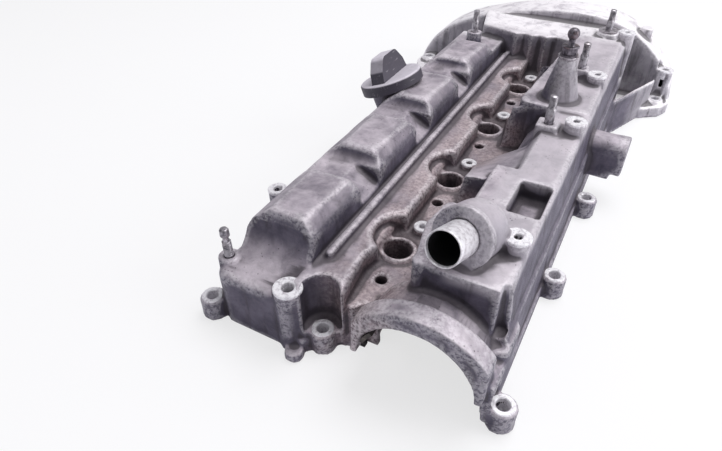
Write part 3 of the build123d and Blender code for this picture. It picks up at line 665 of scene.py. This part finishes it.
def build_machined_faces(settings):
    """The spot-faced seats and the mouths of the tapped holes, as one group of thin skins."""
    bright = machined_material(settings)
    rings = [machined_ring(p, 7.2, 4.2, 17.0, 16.0) for p in bolt_ears]
    rings += [machined_ring(p, 7.8, 2.6, 92.0, 8.0) for p in roof_posts]
    rings += [machined_ring(p, 6.2, 2.6, 42.0, 8.0) for p in clamp_seats]
    rings.append(machined_ring((-38.0, -75.0), 9.2, 4.2, 51.0, 10.0))
    rings.append(machined_ring((-100.0, 2.0), 7.2, 3.4, 55.0, 10.0))
    rings.append(machined_ring((128.0, 388.0), 8.0, 3.4, 45.0, 10.0))
    piece("machined_faces", join(rings), bright, "cover", (), 30.0)


def dress_cad_nodes(settings):
    """Finishes for the CAD nodes that show as they are."""
    gasket = rubber_material(settings, "gasket_rubber", (38, 36, 38), (72, 68, 68))
    well_rubber = rubber_material(settings, "well_seal_rubber", (46, 34, 32), (80, 62, 56))
    torn = rubber_material(settings, "old_sealant", (58, 52, 50), (112, 104, 98))
    sheet = steel_material(settings, "baffle_steel", (168, 164, 166), (96, 90, 88), 0.8, 0.2)
    screw = steel_material(settings, "screw_steel", (176, 170, 160), (92, 86, 80), 0.8, 0.3)
    plastic = plastic_material(settings)
    finishes = {
        "perimeter_gasket": gasket,
        "oil_cap_seal": well_rubber,
        "arch_seal_remnant": torn,
        "baffle_plate": sheet,
        "baffle_screws": screw,
        "oil_filler_cap": plastic,
    }
    for number in range(1, 5):
        finishes["injector_seal_" + str(number)] = well_rubber
    for name, material in finishes.items():
        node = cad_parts[name]
        if not node.material_slots:
            node.data.materials.append(material)
        for holder in node.material_slots:
            holder.material = material


def build_stage(settings):
    """Pale floor and backdrop, soft lamps, and the camera at the photograph's viewing angle."""
    floor_mesh = bpy.data.meshes.new("floor")
    reach = 6.0
    corners = [(-reach, -reach, 0.0), (reach, -reach, 0.0), (reach, reach, 0.0), (-reach, reach, 0.0)]
    floor_mesh.from_pydata(corners, [], [(0, 1, 2, 3)])
    floor = bpy.data.objects.new("floor", floor_mesh)
    bpy.context.scene.collection.objects.link(floor)
    floor.location.z = cad_box[0][2] - 0.0002
    pale = bpy.data.materials.new("pale_floor")
    pale.use_nodes = True
    tree = pale.node_tree
    tree.nodes.clear()
    ray = tree.nodes.new("ShaderNodeLightPath")
    matt = tree.nodes.new("ShaderNodeBsdfDiffuse")
    matt.inputs["Color"].default_value = tone(246, 245, 250)
    white = tree.nodes.new("ShaderNodeEmission")
    white.inputs["Color"].default_value = (1.0, 1.0, 1.0, 1.0)
    both = tree.nodes.new("ShaderNodeMixShader")
    seen = tree.nodes.new("ShaderNodeMath")
    seen.operation = "MULTIPLY"
    seen.inputs[1].default_value = settings.floor_glow
    out = tree.nodes.new("ShaderNodeOutputMaterial")
    tree.links.new(ray.outputs["Is Camera Ray"], seen.inputs[0])
    tree.links.new(seen.outputs[0], both.inputs[0])
    tree.links.new(matt.outputs[0], both.inputs[1])
    tree.links.new(white.outputs[0], both.inputs[2])
    tree.links.new(both.outputs[0], out.inputs["Surface"])
    floor_mesh.materials.append(pale)

    world = bpy.data.worlds.new("studio")
    world.use_nodes = True
    bpy.context.scene.world = world
    tree = world.node_tree
    back = tree.nodes["Background"]
    path = tree.nodes.new("ShaderNodeLightPath")
    straight = tree.nodes.new("ShaderNodeMath")
    straight.operation = "MAXIMUM"
    tree.links.new(path.outputs["Is Camera Ray"], straight.inputs[0])
    tree.links.new(path.outputs["Is Transmission Ray"], straight.inputs[1])
    level = tree.nodes.new("ShaderNodeMapRange")
    level.inputs["To Min"].default_value = settings.sky_level
    level.inputs["To Max"].default_value = 1.0
    tree.links.new(straight.outputs[0], level.inputs["Value"])
    tree.links.new(level.outputs[0], back.inputs["Strength"])
    back.inputs["Color"].default_value = tone(250, 250, 255)

    def lamp(name, place, target, size, power):
        data = bpy.data.lights.new(name, "AREA")
        data.shape = "DISK"
        data.size = size
        data.energy = power
        made = bpy.data.objects.new(name, data)
        made.location = place
        aim = np.array(target, float) - np.array(place, float)
        made.rotation_euler = look(aim)
        bpy.context.scene.collection.objects.link(made)

    lamp("top_soft", (0.25, 0.55, 1.5), (0.0, 0.15, 0.0), 1.1, settings.top_power)
    lamp("right_soft", (1.35, 0.35, 0.75), (0.0, 0.15, 0.03), 0.9, settings.right_power)
    lamp("front_fill", (-0.7, -1.3, 0.9), (0.0, 0.1, 0.03), 1.2, settings.fill_power)

    azimuth, elevation, roll = (math.radians(v) for v in (29.45, 39.17, -0.8))
    ahead = np.array(
        [
            -math.sin(azimuth) * math.cos(elevation),
            math.cos(azimuth) * math.cos(elevation),
            -math.sin(elevation),
        ]
    )
    right = np.array([math.cos(azimuth), math.sin(azimuth), 0.0])
    up = np.cross(right, ahead)
    turned_right = right * math.cos(roll) + up * math.sin(roll)
    turned_up = -right * math.sin(roll) + up * math.cos(roll)
    lens = bpy.data.cameras.new("photo_view")
    lens.sensor_width = 36.0
    lens.lens = 543.7 / 722.0 * 36.0
    lens.clip_start = 0.01
    camera = bpy.data.objects.new("photo_view", lens)
    pose = np.eye(4)
    pose[:3, 0], pose[:3, 1], pose[:3, 2] = turned_right, turned_up, -ahead
    pose[:3, 3] = (0.11436, -0.25379, 0.28583)
    camera.matrix_world = Matrix(pose.tolist())
    bpy.context.scene.collection.objects.link(camera)
    bpy.context.scene.camera = camera
    bpy.context.scene.view_settings.view_transform = "Standard"


def look(aim):
    """Turn that points a lamp's own -Z along a direction."""
    flat = math.hypot(aim[0], aim[1])
    return (math.atan2(flat, -aim[2]), 0.0, math.atan2(aim[1], aim[0]) - math.pi / 2)


def shade(name, description, default):
    """A colour as it looks on screen, 0 to 255 in each channel."""
    return bpy.props.IntVectorProperty(
        name=name,
        description=description,
        default=default,
        min=0,
        max=255,
        size=3,
    )


class CoverSettings(bpy.types.PropertyGroup):
    """Sizes and colours of the valve cover's looks."""

    skin_cell: bpy.props.FloatProperty(
        name="Skin cell",
        description="Cell of the casting's skin, in millimetres",
        default=1.3,
        min=0.8,
        max=4.0,
    )
    soften_rounds: bpy.props.IntProperty(
        name="Rounding",
        description="Rounds of smoothing on the casting's edges",
        default=4,
        min=0,
        max=20,
    )
    skin_triangles: bpy.props.IntProperty(
        name="Skin triangles",
        description="Triangles kept in the casting's skin",
        default=185000,
        min=20000,
        max=199000,
    )
    unevenness: bpy.props.FloatProperty(
        name="Unevenness",
        description="Depth of the casting's unevenness, in millimetres",
        default=0.5,
        min=0.0,
        max=1.5,
    )
    oxide_light: shade("Oxide, light", "Light patches of the casting's top faces", (196, 186, 196))
    oxide_dark: shade("Oxide, dark", "Dark patches of the casting's top faces", (122, 115, 126))
    oxide_pale: shade("Oxide, pale", "Palest, dusty patches", (226, 216, 224))
    # Darker copies of the oxide colours for the upright faces: painted shade.
    shaded_side_light: shade("Side, light", "Light patches of the upright faces", (112, 106, 122))
    shaded_side_dark: shade("Side, dark", "Dark patches of the upright faces", (66, 62, 78))
    film_light: shade("Oil film, light", "Light patches of the valley's oil film", (204, 184, 184))
    film_dark: shade("Oil film, dark", "Dark patches of the valley's oil film", (128, 106, 106))
    bare_light: shade(
        "Bare metal, light",
        "Bright metal on worn edges and on the flared end",
        (250, 246, 250),
    )
    bare_dark: shade("Bare metal, dark", "Duller bright metal", (206, 200, 207))
    # Soot colour for stains, streaks and pits, and for the painted shade in the hollows.
    soot_and_hollow_shade: shade("Soot", "Grime in the hollows and pits", (54, 48, 54))
    rust: shade("Rust", "Rust spots on the steel", (112, 72, 54))
    cut_light: shade("Cut face, light", "Machined seats", (244, 242, 246))
    cut_dark: shade("Cut face, dark", "Grime on the machined seats", (188, 182, 190))
    cap_dark: shade("Cap plastic", "Filler cap's plastic", (62, 58, 70))
    cap_dust: shade("Cap dust", "Dust on the filler cap", (214, 208, 218))
    casting_metal: bpy.props.FloatProperty(
        name="Casting metal",
        description="How metallic the casting looks",
        default=0.25,
        min=0.0,
        max=1.0,
        subtype="FACTOR",
    )
    floor_glow: bpy.props.FloatProperty(
        name="Floor glow",
        description="How far the floor is seen as plain white",
        default=0.7,
        min=0.0,
        max=1.0,
        subtype="FACTOR",
    )
    sky_level: bpy.props.FloatProperty(
        name="Sky level",
        description="Even light from all round",
        default=0.42,
        min=0.0,
        max=2.0,
    )
    top_power: bpy.props.FloatProperty(
        name="Top lamp",
        description="Power of the lamp above",
        default=15.0,
        min=0.0,
        unit="POWER",
    )
    right_power: bpy.props.FloatProperty(
        name="Right lamp",
        description="Power of the lamp on the right",
        default=9.0,
        min=0.0,
        unit="POWER",
    )
    fill_power: bpy.props.FloatProperty(
        name="Fill lamp",
        description="Power of the lamp in front",
        default=1.5,
        min=0.0,
        unit="POWER",
    )


class PieceOperator:
    """Shared setup of the operators that build one group of pieces."""

    bl_options = {"REGISTER", "UNDO"}


class COVER_OT_casting(PieceOperator, bpy.types.Operator):
    """Round the casting's edges and give it its weathered finish"""

    bl_idname = "cover.casting"
    bl_label = "Casting"

    def execute(self, context):
        settings = context.scene.cover_settings
        mesh = rounded_casting(settings)
        stand(
            "cover_casting_rounded",
            mesh,
            casting_material(settings),
            "cover",
            ["cover_casting"],
            180.0,
        )
        return {"FINISHED"}


class COVER_OT_machined_faces(PieceOperator, bpy.types.Operator):
    """Add the bright spot-faced seats and tapped mouths"""

    bl_idname = "cover.machined_faces"
    bl_label = "Machined faces"

    def execute(self, context):
        build_machined_faces(context.scene.cover_settings)
        return {"FINISHED"}


class COVER_OT_studs(PieceOperator, bpy.types.Operator):
    """Cut the threads of the five studs"""

    bl_idname = "cover.studs"
    bl_label = "Studs"

    def execute(self, context):
        build_studs(context.scene.cover_settings)
        return {"FINISHED"}


class COVER_OT_ball_stud(PieceOperator, bpy.types.Operator):
    """Turn the ball stud and round the washers"""

    bl_idname = "cover.ball_stud"
    bl_label = "Ball stud and washers"

    def execute(self, context):
        build_ball_stud(context.scene.cover_settings)
        return {"FINISHED"}


class COVER_OT_breather_pipe(PieceOperator, bpy.types.Operator):
    """Form the breather pipe with its rolled mouth"""

    bl_idname = "cover.breather_pipe"
    bl_label = "Breather pipe"

    def execute(self, context):
        build_pipe(context.scene.cover_settings)
        return {"FINISHED"}


class COVER_OT_other_finishes(PieceOperator, bpy.types.Operator):
    """Give seals, baffle, screws and cap their finishes"""

    bl_idname = "cover.other_finishes"
    bl_label = "Other finishes"

    def execute(self, context):
        dress_cad_nodes(context.scene.cover_settings)
        return {"FINISHED"}


class COVER_OT_stage(PieceOperator, bpy.types.Operator):
    """Lay the floor, hang the lamps and set the camera"""

    bl_idname = "cover.stage"
    bl_label = "Stage"

    def execute(self, context):
        build_stage(context.scene.cover_settings)
        return {"FINISHED"}


operators = (
    COVER_OT_casting,
    COVER_OT_machined_faces,
    COVER_OT_studs,
    COVER_OT_ball_stud,
    COVER_OT_breather_pipe,
    COVER_OT_other_finishes,
    COVER_OT_stage,
)


class COVER_PT_panel(bpy.types.Panel):
    """Lists the valve cover's pieces in the sidebar"""

    bl_idname = "COVER_PT_panel"
    bl_label = "Valve cover"
    bl_space_type = "VIEW_3D"
    bl_region_type = "UI"
    bl_category = "Valve cover"

    def draw(self, context):
        for operator in operators:
            self.layout.operator(operator.bl_idname)
        for name in CoverSettings.__annotations__:
            self.layout.prop(context.scene.cover_settings, name)


def register():
    """Register the settings, the operators and the panel."""
    bpy.utils.register_class(CoverSettings)
    for operator in operators:
        bpy.utils.register_class(operator)
    bpy.utils.register_class(COVER_PT_panel)
    bpy.types.Scene.cover_settings = bpy.props.PointerProperty(type=CoverSettings)


def unregister():
    """Take everything back out in the opposite order."""
    del bpy.types.Scene.cover_settings
    bpy.utils.unregister_class(COVER_PT_panel)
    for operator in reversed(operators):
        bpy.utils.unregister_class(operator)
    bpy.utils.unregister_class(CoverSettings)


def main():
    """Build every piece in order."""
    register()
    bpy.ops.cover.casting()
    bpy.ops.cover.machined_faces()
    bpy.ops.cover.studs()
    bpy.ops.cover.ball_stud()
    bpy.ops.cover.breather_pipe()
    bpy.ops.cover.other_finishes()
    bpy.ops.cover.stage()


if __name__ == "__main__":
    main()
